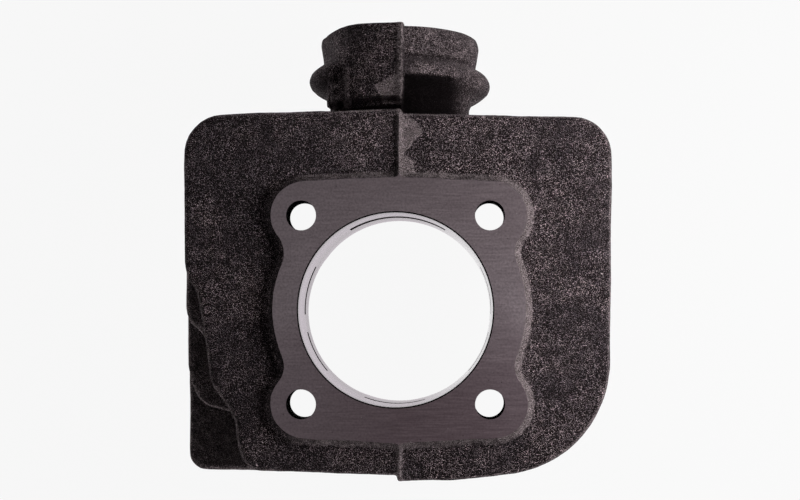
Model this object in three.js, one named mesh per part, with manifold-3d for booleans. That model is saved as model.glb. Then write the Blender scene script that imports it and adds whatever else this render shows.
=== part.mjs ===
// Air-cooled two-stroke engine barrel in cast iron: eight cooling fins on a thick bored
// wall, a machined head joint on top, a base flange over a skirt, and a round exhaust
// stub with a clamp collar. The casting is laid out as a stack of level plates, so every
// fin, every stretch of wall between two fins, the flange and the stub is its own solid.
//
// The shapes are drawn about the bore axis, +Z up to the head joint and +Y towards the
// exhaust. The finished group is then moved so that its origin is the middle of the
// bounding box's bottom face.

import * as THREE from 'three';
import { mergeVertices } from 'three/addons/utils/BufferGeometryUtils.js';
import { ConvexGeometry } from 'three/addons/geometries/ConvexGeometry.js';
import Module from 'manifold-3d';

const wasm = await Module();
wasm.setup();

// ---------------------------------------------------------------- driving dimensions, mm

const BORE_RADIUS = 21.5;
const WALL_THICKNESS = 3;
const GAP = 0.3; // clearance between pieces that are cut to fit each other
const MOUTH_CHAMFER = 0.3;
const SKIRT_EDGE = 0.6; // outer chamfer round the skirt's foot
const OVERSHOOT = 2; // how far a cutting tool runs past what it cuts
const TUCK = 0.05; // how far joined pieces reach into each other

const STUD_PITCH = 41.7; // square pattern, centre to centre
const STUD_HOLE_RADIUS = 3.3; // drilled for 6 mm studs
const STUD_RELIEF_RADIUS = 4.6; // cored clearance lower down
const STUD_RELIEF_PITCH = 43.1; // the cored part stands a little outside the drilled one
const STUD_BOSS_RADIUS = 7.2;
const WAIST_RADIUS = 6; // concave blend between the head joint's lobes and its round middle

const SKIRT_HEIGHT = 15; // hangs into the crankcase below the base joint
const FLANGE_TOP = 22.5;
const FIN_COUNT = 8;
const FIN_PITCH = 6;
const FIN_THICKNESS = 2.5;
const TOP_FIN_HEIGHT = 71; // upper face of the top fin
const DECK_HEIGHT = 73; // machined head joint face
const DRILLED_DOWN_TO = 50.5; // the stud holes are relieved below this height
const DUCT_TOP = 35; // the transfer ducts end here, just above their ports

const CAST_OFFSET = 0.8; // the casting sits this far to +X of the bore it was bored to
const PARTING_STEP = 1.1; // the mould's right half stood this far behind its left half
const CORE_RADIUS = 27.6;

// Edges of the whole fins and of the base flange, seen from above.
const FIN = { left: -46.5, right: 47.5, back: -36.5, front: 44.2 };
const FIN_CORNERS = { frontLeft: 8.6, frontRight: 8, backRight: 25.2, backLeft: 3.6 };
const BACK_RIGHT_CENTRE = -11.1; // the big corner's centre, along Y
const PAD_APEX = 29; // the head joint's long sides reach this far at the parting plane
const FLANGE = { left: -35, right: 35.5, back: -34, front: 29.5, corner: 9 };

const EXHAUST_LEAN = THREE.MathUtils.degToRad(9); // the stub droops as it goes out
const EXHAUST_ROOT = new THREE.Vector3(CAST_OFFSET, 28, 40);
const EXHAUST_PASSAGE_RADIUS = 13.5;
const EXHAUST_NECK_RADIUS = 16;
const EXHAUST_TUBE_RADIUS = 17.9;
const EXHAUST_COLLAR_RADIUS = 20.75;
const EXHAUST_LENGTH = 34; // root to end face, along the stub
const NECK_FROM = -12; // the neck starts inside the wall
const NECK_TO = 18.5;
const TUBE_EDGE = 0.8; // chamfer at the tube's end
const COLLAR_AT = 23.6; // middle of the clamp collar, along the stub
const COLLAR_HALF_WIDTH = 3.2;
const COLLAR_FOOT = 1; // the collar's flanks start this far above the neck
const COLLAR_CREST = { halfWidth: 1.8, drop: 0.9 };

// The block of iron that the gate left on the stub, in the stub's own frame.
const GATE_BLOCK = { width: 13, length: 14.6, height: 9, x: -7.6, y: 25.9, z: 17 };

const SKIRT_ARCH = { halfWidth: 17, height: 11, angles: [197, -17] };

// Ports in the bore wall: angles in degrees anticlockwise from +X, heights above the skirt.
const EXHAUST_PORT = { from: 59.5, to: 120.5, low: 29.5, high: 41.5 };
const TRANSFER_PORTS = [
  { from: 152, to: 182.5, low: 28, high: 34.5 },
  { from: 193.5, to: 220.5, low: 28, high: 34.5 },
];
const BOOST_PORT = { from: 249, to: 287, low: 28, high: 34.5 };

// Ducts in the casting that feed those ports, open at the base joint.
const SIDE_DUCT = { from: 151, to: 209, outer: 30.5 };
const BOOST_DUCT = { from: 251, to: 289, outer: 30 };
const EXHAUST_SIDE = { from: 62, to: 118, outer: 50 }; // no duct swells the wall here

// ---------------------------------------------------------------- finishes

const roughIron = new THREE.MeshStandardMaterial({
  name: 'rough_iron', color: 0x2a2627, roughness: 0.82, metalness: 0.35,
});
const machinedIron = new THREE.MeshStandardMaterial({
  name: 'machined_iron', color: 0x61565a, roughness: 0.55, metalness: 0.7,
});
const honedIron = new THREE.MeshStandardMaterial({
  name: 'honed_iron', color: 0xbeb4c0, roughness: 0.28, metalness: 0.9,
});

// ---------------------------------------------------------------- outline helpers

// Points on a circle's arc, from one angle to another in degrees, both ends included.
function arc(x, y, radius, from, to, steps) {
  return Array.from({ length: steps + 1 }, (_, i) => {
    const angle = THREE.MathUtils.degToRad(from + ((to - from) * i) / steps);
    return new THREE.Vector2(x + radius * Math.cos(angle), y + radius * Math.sin(angle));
  });
}

function circle(x, y, radius, steps) {
  return arc(x, y, radius, 0, 360, steps).slice(0, -1);
}

// A piece of ring between two angles.
function sector(inner, outer, from, to, steps) {
  return [...arc(0, 0, outer, from, to, steps), ...arc(0, 0, inner, to, from, steps)];
}

// The same angles on the other side of the YZ plane.
function mirrored({ from, to, ...rest }) {
  return { from: 180 - to, to: 180 - from, ...rest };
}

// A level plate between two heights.
function plate(outline, low, high) {
  const settings = { depth: high - low, bevelEnabled: false };
  return new THREE.ExtrudeGeometry(new THREE.Shape(outline), settings).translate(0, 0, low);
}

// ---------------------------------------------------------------- joining and cutting

function toSolid(geometry) {
  const bare = geometry.clone();
  bare.deleteAttribute('normal');
  bare.deleteAttribute('uv');
  const merged = mergeVertices(bare, 1e-4);
  return new wasm.Manifold(new wasm.Mesh({
    numProp: 3,
    vertProperties: new Float32Array(merged.attributes.position.array),
    triVerts: new Uint32Array(merged.index.array),
  }));
}

function toGeometry(solid) {
  const mesh = solid.getMesh();
  const geometry = new THREE.BufferGeometry();
  geometry.setAttribute('position', new THREE.BufferAttribute(mesh.vertProperties, 3));
  geometry.setIndex(new THREE.BufferAttribute(mesh.triVerts, 1));
  const flat = geometry.toNonIndexed();
  flat.computeVertexNormals();
  return flat;
}

function join(...geometries) {
  return toGeometry(geometries.map(toSolid).reduce((whole, next) => whole.add(next)));
}

function cut(geometry, ...tools) {
  return toGeometry(tools.map(toSolid).reduce((whole, tool) => whole.subtract(tool),
    toSolid(geometry)));
}

// ---------------------------------------------------------------- shared shapes

// The four studs' centres: a drilled square high up, a cored one lower down.
function studCentres(height) {
  const half = (height < DRILLED_DOWN_TO ? STUD_RELIEF_PITCH : STUD_PITCH) / 2;
  return [[-half, half], [half, half], [half, -half], [-half, -half]];
}

// Every upright hole through a plate: the one that the bored wall stands in, the stud
// holes, and low down the transfer ducts, which open onto the bored wall.
function uprightHoles(low, high) {
  const studRadius = low < DRILLED_DOWN_TO ? STUD_RELIEF_RADIUS : STUD_HOLE_RADIUS;
  const outlines = [
    circle(0, 0, BORE_RADIUS + WALL_THICKNESS + GAP, 40),
    ...studCentres(low).map(([x, y]) => circle(x, y, studRadius, 16)),
  ];
  if (low < DUCT_TOP) {
    outlines.push(...[SIDE_DUCT, mirrored(SIDE_DUCT), BOOST_DUCT]
      .map(({ from, to, outer }) => sector(BORE_RADIUS, outer, from, to, 8)));
  }
  return outlines.map((outline) => plate(outline, low - OVERSHOOT, high + OVERSHOOT));
}

// The stretch of exhaust passage inside the casting, from the port to the stub's root.
function exhaustPassage() {
  const { low, high, to } = EXHAUST_PORT;
  const halfWidth = BORE_RADIUS * Math.sin(THREE.MathUtils.degToRad(to - 90));
  const port = [low, high].flatMap((z) => [-halfWidth, halfWidth]
    .map((x) => new THREE.Vector3(x, BORE_RADIUS / 2, z)));
  const round = circle(0, 0, EXHAUST_PASSAGE_RADIUS, 24)
    .map(({ x, y }) => new THREE.Vector3(x, OVERSHOOT, y).applyMatrix4(stubPlacement()));
  return new ConvexGeometry([...port, ...round]);
}

// The stub's own frame: local +Y runs outward along the drooping exhaust axis.
function stubPlacement() {
  return new THREE.Matrix4().makeRotationX(-EXHAUST_LEAN).setPosition(EXHAUST_ROOT);
}

// Room for the stub's neck, with the gap that pieces cut to fit keep.
function neckClearance() {
  const radius = EXHAUST_NECK_RADIUS + GAP;
  return new THREE.CylinderGeometry(radius, radius, EXHAUST_LENGTH - NECK_FROM, 36)
    .translate(0, (NECK_FROM + EXHAUST_LENGTH) / 2, 0)
    .applyMatrix4(stubPlacement());
}

// The barrel's wall, swollen round the studs and, low down, round the transfer ducts.
function coreSolid(low, high, grow) {
  const pieces = [
    plate(circle(CAST_OFFSET, 0, CORE_RADIUS + grow, 40), low, high),
    ...studCentres(low).map(([x, y]) => plate(
      circle(x, y, STUD_BOSS_RADIUS + grow, 16), low, high)),
  ];
  if (low < DUCT_TOP) {
    const side = plate(circle(0, 0, SIDE_DUCT.outer + WALL_THICKNESS + grow, 48), low, high);
    const { from, to, outer } = EXHAUST_SIDE;
    const plain = plate(sector(0, outer, from, to, 6), low - OVERSHOOT, high + OVERSHOOT);
    pieces.push(cut(side, plain));
  }
  return join(...pieces);
}

// ---------------------------------------------------------------- fins

// The lower left corner is cut away on the upper fins, less on each one going down.
const CUT_TAIL = [[-35.2, -24.6], [-34.6, -29], [-33.6, -32.6], [-31.8, -34.7], [-29.5, -35.3]];
const CORNER_CUTS = [
  [[-46.5, 10.5], [-45.6, 6.7], [-43.7, 4], [-41.8, -6.3], [-40.5, -15.8], [-37, -21],
    ...CUT_TAIL],
  [[-46.5, 1], [-45.6, -2.4], [-42, -6.6], [-40.5, -15.8], [-37, -21.2], ...CUT_TAIL],
  [[-46.5, -12.5], [-45, -18], [-42.6, -20.9], [-37, -22.8], ...CUT_TAIL],
];

// Moulding draft: how far each edge falls away on its way from the parting plane to its
// corner, how far the right edge leans in, and the part of a corner's arc that this takes up.
const DRAFT = { frontLeft: 1.1, frontRight: 1.8, backLeft: 0.7, right: 0.4, degrees: 1 };
const BACK_RIGHT_STARTS = 277; // degrees

function finOutline(index) {
  const { left, right, back, front } = FIN;
  const { frontLeft, frontRight, backRight, backLeft } = FIN_CORNERS;
  const corner = CORNER_CUTS[index];
  const lowerLeft = corner
    ? new THREE.SplineCurve(corner.map(([x, y]) => new THREE.Vector2(x, y)))
      .getPoints(2 * corner.length)
    : arc(left + backLeft, back + DRAFT.backLeft + backLeft, backLeft, 180, 270, 4);
  return [
    ...lowerLeft,
    new THREE.Vector2(CAST_OFFSET, back),
    new THREE.Vector2(CAST_OFFSET, back - PARTING_STEP),
    ...arc(right - DRAFT.right - backRight, BACK_RIGHT_CENTRE, backRight,
      BACK_RIGHT_STARTS, 360, 10),
    ...arc(right - frontRight, front - DRAFT.frontRight - frontRight, frontRight,
      0, 90 - DRAFT.degrees, 6),
    new THREE.Vector2(CAST_OFFSET, front - PARTING_STEP),
    new THREE.Vector2(CAST_OFFSET, front),
    ...arc(left + frontLeft, front - DRAFT.frontLeft - frontLeft, frontLeft,
      90 + DRAFT.degrees, 180, 6),
  ];
}

function finTop(index) {
  return TOP_FIN_HEIGHT - index * FIN_PITCH;
}

function finGeometry(index) {
  const high = finTop(index);
  const low = high - FIN_THICKNESS;
  const blank = plate(finOutline(index), low, high);
  return cut(blank, ...uprightHoles(low, high), neckClearance(), exhaustPassage());
}

// ---------------------------------------------------------------- wall between the fins

function coreGeometry(index) {
  const high = finTop(index) - FIN_THICKNESS;
  const low = index < FIN_COUNT - 1 ? finTop(index + 1) : FLANGE_TOP;
  return cut(coreSolid(low, high, 0), ...uprightHoles(low, high), exhaustPassage());
}

// ---------------------------------------------------------------- head joint and flange

// Fills the corner between the round middle and a lobe, up to a concave arc that touches both.
function waistGeometry([lobeX, lobeY], low, high) {
  const middle = new THREE.Vector2(CAST_OFFSET, 0);
  const lobe = new THREE.Vector2(lobeX + CAST_OFFSET, lobeY);
  const apart = middle.distanceTo(lobe);
  const toMiddle = CORE_RADIUS + WAIST_RADIUS;
  const toLobe = STUD_BOSS_RADIUS + WAIST_RADIUS;
  const along = (toMiddle ** 2 - toLobe ** 2 + apart ** 2) / (2 * apart);
  const aside = -Math.sign(lobeX * lobeY) * Math.sqrt(toMiddle ** 2 - along ** 2);
  const unit = lobe.clone().sub(middle).normalize();
  const centre = middle.clone().addScaledVector(unit, along)
    .add(new THREE.Vector2(-unit.y, unit.x).multiplyScalar(aside));
  const filler = plate([middle, lobe, centre], low, high);
  const hollow = circle(centre.x, centre.y, WAIST_RADIUS, 48);
  return cut(filler, plate(hollow, low - OVERSHOOT, high + OVERSHOOT));
}

function headJointGeometry() {
  const [low, high] = [TOP_FIN_HEIGHT, DECK_HEIGHT];
  const centres = studCentres(high);
  const lobes = centres.map(([x, y]) => plate(
    circle(x + CAST_OFFSET, y, STUD_BOSS_RADIUS, 20), low, high));
  const waists = centres.map((centre) => waistGeometry(centre, low, high));
  const half = STUD_PITCH / 2;
  const edge = half + STUD_BOSS_RADIUS - TUCK;
  const corners = [[-half, -edge], [0, -PAD_APEX], [half, -edge],
    [half, edge], [0, PAD_APEX], [-half, edge]];
  const middle = plate(corners.map(([x, y]) => new THREE.Vector2(x + CAST_OFFSET, y)), low, high);
  const round = plate(circle(CAST_OFFSET, 0, CORE_RADIUS, 48), low, high);
  return cut(join(middle, round, ...lobes, ...waists), ...uprightHoles(low, high));
}

function baseFlangeGeometry() {
  const { left, right, back, front, corner } = FLANGE;
  const outline = [
    ...arc(left + corner, back + corner, corner, 180, 270, 5),
    ...arc(right - corner, back + corner, corner, 270, 360, 5),
    ...arc(right - corner, front - corner, corner, 0, 90, 5),
    ...arc(left + corner, front - corner, corner, 90, 180, 5),
  ];
  return cut(plate(outline, SKIRT_HEIGHT, FLANGE_TOP),
    ...uprightHoles(SKIRT_HEIGHT, FLANGE_TOP));
}

// ---------------------------------------------------------------- bored wall and skirt

function portCutter({ from, to, low, high }) {
  const outer = BORE_RADIUS + WALL_THICKNESS + OVERSHOOT;
  return plate(sector(BORE_RADIUS - OVERSHOOT, outer, from, to, 8), low, high);
}

// The skirt is arched on both sides, so that gas can reach the transfer ducts.
function skirtArch(angle) {
  const { halfWidth, height } = SKIRT_ARCH;
  const outline = arc(0, 0, 1, 0, 180, 14)
    .map(({ x, y }) => new THREE.Vector2(x * halfWidth, y * height));
  outline.push(new THREE.Vector2(-halfWidth, -OVERSHOOT),
    new THREE.Vector2(halfWidth, -OVERSHOOT));
  const depth = BORE_RADIUS + WALL_THICKNESS + OVERSHOOT;
  return new THREE.ExtrudeGeometry(new THREE.Shape(outline), { depth, bevelEnabled: false })
    .rotateX(Math.PI / 2)
    .rotateZ(Math.PI / 2 + THREE.MathUtils.degToRad(angle));
}

function boredWallGeometry() {
  const outer = BORE_RADIUS + WALL_THICKNESS;
  const profile = [
    [BORE_RADIUS + MOUTH_CHAMFER, 0], [outer - SKIRT_EDGE, 0], [outer, SKIRT_EDGE],
    [outer, DECK_HEIGHT],
    [BORE_RADIUS + MOUTH_CHAMFER, DECK_HEIGHT], [BORE_RADIUS, DECK_HEIGHT - MOUTH_CHAMFER],
    [BORE_RADIUS, MOUTH_CHAMFER], [BORE_RADIUS + MOUTH_CHAMFER, 0],
  ].map(([x, y]) => new THREE.Vector2(x, y));
  const sleeve = new THREE.LatheGeometry(profile, 60).rotateX(Math.PI / 2);
  const ports = [EXHAUST_PORT, ...TRANSFER_PORTS, ...TRANSFER_PORTS.map(mirrored), BOOST_PORT];
  return cut(sleeve, ...ports.map(portCutter), ...SKIRT_ARCH.angles.map(skirtArch));
}

// ---------------------------------------------------------------- exhaust stub

// The stub's outline, as radius against distance along its axis: neck, collar and tube.
function stubProfile() {
  const foot = EXHAUST_NECK_RADIUS + COLLAR_FOOT;
  const { halfWidth, drop } = COLLAR_CREST;
  return [
    [EXHAUST_PASSAGE_RADIUS, NECK_FROM], [EXHAUST_NECK_RADIUS, NECK_FROM],
    [EXHAUST_NECK_RADIUS, NECK_TO], [foot, COLLAR_AT - COLLAR_HALF_WIDTH],
    [EXHAUST_COLLAR_RADIUS - drop, COLLAR_AT - halfWidth], [EXHAUST_COLLAR_RADIUS, COLLAR_AT],
    [EXHAUST_COLLAR_RADIUS - drop, COLLAR_AT + halfWidth], [foot, COLLAR_AT + COLLAR_HALF_WIDTH],
    [EXHAUST_TUBE_RADIUS, EXHAUST_LENGTH - TUBE_EDGE],
    [EXHAUST_TUBE_RADIUS - TUBE_EDGE, EXHAUST_LENGTH], [EXHAUST_PASSAGE_RADIUS, EXHAUST_LENGTH],
    [EXHAUST_PASSAGE_RADIUS, NECK_FROM],
  ].map(([radius, along]) => new THREE.Vector2(radius, along));
}

function exhaustStubGeometry() {
  const blank = new THREE.LatheGeometry(stubProfile(), 40).applyMatrix4(stubPlacement());
  return cut(blank, coreSolid(SKIRT_HEIGHT, TOP_FIN_HEIGHT, GAP));
}

// A block of iron left from the casting's gate, bridging tube and collar on the upper left.
function gateBlockGeometry() {
  const { width, length, height, x, y, z } = GATE_BLOCK;
  const block = new THREE.BoxGeometry(width, length, height)
    .translate(x, y, z)
    .applyMatrix4(stubPlacement());
  const hollow = stubProfile().map(({ x, y }) => new THREE.Vector2(x + GAP, y));
  hollow[0].x = 0;
  hollow.at(-2).x = 0;
  hollow.at(-1).x = 0;
  return cut(block, new THREE.LatheGeometry(hollow, 40).applyMatrix4(stubPlacement()));
}

// ---------------------------------------------------------------- assembly

const barrel = new THREE.Group();

function add(name, geometry, material) {
  const mesh = new THREE.Mesh(geometry, material);
  mesh.name = name;
  barrel.add(mesh);
}

add('head_joint_pad', headJointGeometry(), machinedIron);
add('bored_wall', boredWallGeometry(), honedIron);
for (let index = 0; index < FIN_COUNT; index += 1) {
  add(`cooling_fin_${index + 1}`, finGeometry(index), roughIron);
  add(`barrel_core_${index + 1}`, coreGeometry(index), roughIron);
}
add('base_flange', baseFlangeGeometry(), roughIron);
add('exhaust_stub', exhaustStubGeometry(), roughIron);
add('gate_block', gateBlockGeometry(), roughIron);

const footprint = new THREE.Box3().setFromObject(barrel).getCenter(new THREE.Vector3());
barrel.position.set(-footprint.x, -footprint.y, 0);

export default barrel;
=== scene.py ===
# The looks of a cast-iron two-stroke cylinder barrel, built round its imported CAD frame.
# Each cast piece is made the way the real one is: a rough casting first, with rounded
# edges, moulding draft and a parting line, and then the machining cuts through it.

import math

import bmesh
import bpy
import numpy as np
from mathutils import Matrix, Vector


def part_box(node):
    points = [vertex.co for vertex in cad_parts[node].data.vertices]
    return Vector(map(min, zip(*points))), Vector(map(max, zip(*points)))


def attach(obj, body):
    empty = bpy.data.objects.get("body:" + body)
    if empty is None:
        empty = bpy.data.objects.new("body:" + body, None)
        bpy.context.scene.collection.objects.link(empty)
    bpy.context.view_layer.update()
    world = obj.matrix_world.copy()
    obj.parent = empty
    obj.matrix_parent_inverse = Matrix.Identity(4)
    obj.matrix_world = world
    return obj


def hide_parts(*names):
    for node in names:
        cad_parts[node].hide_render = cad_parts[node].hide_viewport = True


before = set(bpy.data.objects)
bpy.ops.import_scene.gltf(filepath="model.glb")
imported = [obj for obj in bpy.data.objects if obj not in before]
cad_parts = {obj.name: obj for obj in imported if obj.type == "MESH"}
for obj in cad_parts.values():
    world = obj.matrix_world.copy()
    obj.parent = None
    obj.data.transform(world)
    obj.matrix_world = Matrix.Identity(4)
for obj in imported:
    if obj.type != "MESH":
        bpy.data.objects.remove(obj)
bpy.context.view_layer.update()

MM = 0.001

# ---------------------------------------------------------------- places from the frame

wall_low, wall_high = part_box("bored_wall")
AXIS = Vector(((wall_low.x + wall_high.x) / 2, (wall_low.y + wall_high.y) / 2, 0))
DECK = wall_high.z / MM
FINS = [tuple(corner.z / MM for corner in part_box(f"cooling_fin_{i}")) for i in range(1, 9)]
FLANGE_LOW, FLANGE_HIGH = (corner.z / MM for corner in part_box("base_flange"))

# ---------------------------------------------------------------- driving sizes, mm

BORE = 21.5
WALL = 3.0
WALL_SEAT = BORE + WALL - 0.05  # the castings are bored a hair tighter than the wall's outside
STUD_PITCH = 41.7
STUD_HOLE = 3.3
RELIEF_PITCH = 43.1
RELIEF_HOLE = 4.6
DRILLED_DOWN_TO = 50.5
BOSS = 7.2
WAIST = 6.0
PAD_APEX = 29.0  # the pad's long sides reach this far from the bore at the parting plane
CAST_X = 0.8  # the parting plane and the casting's middle, to +X of the bore axis
STEP_HALF = 0.4  # half the width of the step that the mould's shift left at the parting plane
CORE = 27.6
FIN_REACH = 47.0  # from the parting plane to the fins' left and right ends
DUCT_SWELL = 33.5  # the casting's radius outside the transfer ducts
DUCT_TOP = 35.0
BEYOND = 60.0  # further out than any iron, for cuts that take off everything on one side

LEAN = math.radians(9)
STUB_ROOT = Vector((CAST_X - 0.3, 28, 40))
PASSAGE = 13.5
NECK = 16.0
TUBE = 18.1
COLLAR = 20.9
STUB_LENGTH = 34.0
COLLAR_AT = 24.2

# Ports are (start angle, end angle, low, high), and ducts (start angle, end angle, radius).
EXHAUST_PORT = (59.5, 120.5, 29.5, 41.5)
SIDE_PORTS = [(152, 182.5, 28, 34.5), (193.5, 220.5, 28, 34.5)]
BOOST_PORT = (249, 287, 28, 34.5)
DUCTS = [(151, 209, 30.5), (-29, 29, 30.5), (251, 289, 30.0)]
ARCH_ANGLES = (197, -17)
ARCH_HALF_WIDTH = 17
ARCH_HEIGHT = 11

ALLOWANCE = 1.5  # iron left on a cast face for machining
OVERSHOOT = 6.0  # how far a machining cut reaches past the iron


def mirrored(port):
    """The same port on the other side of the bore."""
    start, end, low, high = port
    return (180 - end, 180 - start, low, high)


# ---------------------------------------------------------------- outlines, in mm about the bore


def arc(x, y, radius, start, end, step=0.6):
    """Points on an arc between two angles in degrees, about step mm apart."""
    count = max(3, int(abs(math.radians(end - start)) * radius / step))
    angles = np.radians(np.linspace(start, end, count + 1))
    return [(x + radius * math.cos(a), y + radius * math.sin(a)) for a in angles]


def circle(x, y, radius):
    return arc(x, y, radius, 0, 360)[:-1]


def sector(inner, outer, start, end):
    """A slice of a ring between two angles in degrees."""
    return arc(0, 0, outer, start, end) + arc(0, 0, inner, end, start)


def smooth_path(points, steps=8):
    """A Catmull-Rom curve through the points."""
    p = np.array([points[0], *points, points[-1]], float)
    t = np.linspace(0, 1, steps, endpoint=False)[:, None]
    curve = [
        0.5 * (2 * b + (c - a) * t + (2 * a - 5 * b + 4 * c - d) * t**2
               + (3 * b - a - 3 * c + d) * t**3)
        for a, b, c, d in zip(p, p[1:], p[2:], p[3:])
    ]
    return [tuple(q) for q in np.vstack([*curve, p[-1:]])]


FIN_FRONT_LEFT, FIN_FRONT_RIGHT = 44.2, 43.2
FIN_BACK_LEFT, FIN_BACK_RIGHT = -36.3, -37.6

# The corner of fins 1 to 3 is cut away, each along its own line that ends in a shared tail.
CUT_TAIL = [(-35.2, -24.6), (-34.6, -29), (-33.6, -32.6), (-31.8, -34.7), (-29.5, -35.3)]
CORNER_CUTS = [
    [(-46.5, 10.5), (-45.6, 6.7), (-43.7, 4), (-41.8, -6.3), (-40.5, -15.8), (-37, -21)],
    [(-46.5, 1), (-45.6, -2.4), (-42, -6.6), (-40.5, -15.8), (-37, -21.2)],
    [(-46.5, -12.5), (-45, -18), (-42.6, -20.9), (-37, -22.8)],
]


def fin_outline(index):
    """The outline of a fin, numbered from 0 at the top, starting at its lower left."""
    if index < len(CORNER_CUTS):
        lower_left = smooth_path(CORNER_CUTS[index] + CUT_TAIL)
    else:
        lower_left = arc(-42.9, -32.2, 3.6, 180, 270)
    return [
        *lower_left,
        (CAST_X - STEP_HALF, FIN_BACK_LEFT),
        (CAST_X + STEP_HALF, FIN_BACK_RIGHT),
        (12, -37.3),
        *arc(21.9, -11.1, 25.2, 277, 360),
        *arc(39.5, 34.4, 8, 0, 89),
        (CAST_X + STEP_HALF, FIN_FRONT_RIGHT),
        (CAST_X - STEP_HALF, FIN_FRONT_LEFT),
        *arc(-37.9, 34.5, 8.6, 91, 180),
    ]


def waist(centre, radius, other, other_radius, fillet, turn):
    """The concave arc that blends two circles: its centre and end angles in degrees."""
    a, b = Vector(centre), Vector(other)
    reach, other_reach = radius + fillet, other_radius + fillet
    gap = (b - a).length
    along = (reach**2 - other_reach**2 + gap**2) / (2 * gap)
    aside = math.sqrt(reach**2 - along**2) * turn
    unit = (b - a).normalized()
    middle = a + unit * along + Vector((-unit.y, unit.x)) * aside
    return middle, [math.degrees(math.atan2(*reversed(end - middle))) for end in (a, b)]


def between(start, end):
    """The smaller turn from one angle to another, in degrees."""
    return (end - start + 180) % 360 - 180


def pad_corner(sx, sy, grow):
    """From the pad's round middle through the waist and round one lobe to its long side."""
    middle = (CAST_X, 0)
    lobe = (CAST_X + sx * STUD_PITCH / 2, sy * STUD_PITCH / 2)
    fillet = WAIST - grow
    hollow, (to_middle, to_lobe) = waist(
        middle, CORE + grow, lobe, BOSS + grow, fillet, -sx * sy)
    touch = math.degrees(math.atan2(hollow.y, hollow.x - CAST_X))
    bulge = arc(*middle, CORE + grow, 0 if sx > 0 else 180 * math.copysign(1, touch), touch)
    dip = arc(*hollow, fillet, to_middle, to_middle + between(to_middle, to_lobe))
    first = to_lobe + 180
    swing = (90 * sy - first) % 360 if sx * sy > 0 else -((first - 90 * sy) % 360)
    return bulge + dip + arc(*lobe, BOSS + grow, first, first + swing)


def pad_outline(grow):
    """The head joint's outline: a round middle, four lobes, and long sides with draft."""
    points = []
    for sy in (1, -1):
        right, left = pad_corner(1, sy, grow), pad_corner(-1, sy, grow)
        apex = (CAST_X, sy * (PAD_APEX + grow))
        points += right + [apex] + left[::-1] if sy > 0 else left + [apex] + right[::-1]
    return points


def grown(outline, amount):
    """The outline pushed out by an amount, to make up for what smoothing takes off."""
    p = np.array(outline)
    along = np.roll(p, -1, 0) - np.roll(p, 1, 0)
    out = np.stack([along[:, 1], -along[:, 0]], 1)
    out /= np.linalg.norm(out, axis=1)[:, None] + 1e-9
    turns = np.sum(p[:, 0] * np.roll(p[:, 1], -1) - np.roll(p[:, 0], -1) * p[:, 1])
    return [tuple(q) for q in p + out * amount * np.sign(turns)]


def stud_places(pitch):
    """The corners of a square about the bore."""
    half = pitch / 2
    return [(-half, half), (half, half), (half, -half), (-half, -half)]


# ---------------------------------------------------------------- solids


def new_object(name, data):
    obj = bpy.data.objects.new(name, data)
    bpy.context.scene.collection.objects.link(obj)
    return obj


def discard(obj):
    mesh = obj.data
    bpy.data.objects.remove(obj)
    bpy.data.meshes.remove(mesh)


def mesh_from(name, vertices, faces):
    """A mesh object from points in mm about the bore axis."""
    mesh = bpy.data.meshes.new(name)
    mesh.from_pydata([tuple((Vector(v) * MM + AXIS)) for v in vertices], [], faces)
    bm = bmesh.new()
    bm.from_mesh(mesh)
    bmesh.ops.recalc_face_normals(bm, faces=bm.faces)
    bm.to_mesh(mesh)
    bm.free()
    return new_object(name, mesh)


def prism(outline, low, high, placement=None):
    """A solid with the same outline from its low end to its high end."""
    matrix = placement or Matrix.Identity(4)
    count = len(outline)
    vertices = [matrix @ Vector((x, y, z)) for z in (low, high) for x, y in outline]
    sides = [(i, (i + 1) % count, count + (i + 1) % count, count + i) for i in range(count)]
    caps = [tuple(range(count)), tuple(range(count, 2 * count))]
    return mesh_from("prism", vertices, sides + caps)


def slab(low, high):
    """Everything between two heights."""
    square = [(-BEYOND, -BEYOND), (BEYOND, -BEYOND), (BEYOND, BEYOND), (-BEYOND, BEYOND)]
    return prism(square, low, high)


def turned(profile, segments=160, placement=None):
    """A solid of revolution about Z from (radius, height) pairs that close on themselves."""
    matrix = placement or Matrix.Identity(4)
    rings = len(profile)
    vertices, faces = [], []
    for k in range(segments):
        angle = 2 * math.pi * k / segments
        spoke = Vector((math.cos(angle), math.sin(angle), 0))
        vertices += [matrix @ (spoke * r + Vector((0, 0, h))) for r, h in profile]
    for k in range(segments):
        here, there = k * rings, (k + 1) % segments * rings
        for i in range(rings):
            j = (i + 1) % rings
            faces.append((here + i, there + i, there + j, here + j))
    return mesh_from("turned", vertices, faces)


ROUND_BORE = 256  # sides of the bore, the finest round on the part


def rod(radius, low, high, x=0.0, y=0.0, segments=72, placement=None):
    """A plain cylinder, closed at both ends."""
    matrix = placement or Matrix.Identity(4)
    vertices, ring = [], range(segments)
    for height in (low, high):
        for k in ring:
            angle = 2 * math.pi * k / segments
            point = (x + radius * math.cos(angle), y + radius * math.sin(angle), height)
            vertices.append(matrix @ Vector(point))
    sides = [(k, (k + 1) % segments, segments + (k + 1) % segments, segments + k) for k in ring]
    caps = [tuple(ring), tuple(segments + k for k in ring)]
    return mesh_from("rod", vertices, sides + caps)


# The stub's own frame: X to the side, Y up and Z outward along the drooping exhaust axis.
STUB_UP = Vector((0, math.sin(LEAN), math.cos(LEAN)))
STUB_OUT = Vector((0, math.cos(LEAN), -math.sin(LEAN)))
STUB_FRAME = Matrix.Translation(STUB_ROOT) @ Matrix(
    ((1, 0, 0), (0, STUB_UP.y, STUB_OUT.y), (0, STUB_UP.z, STUB_OUT.z))).to_4x4()


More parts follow.
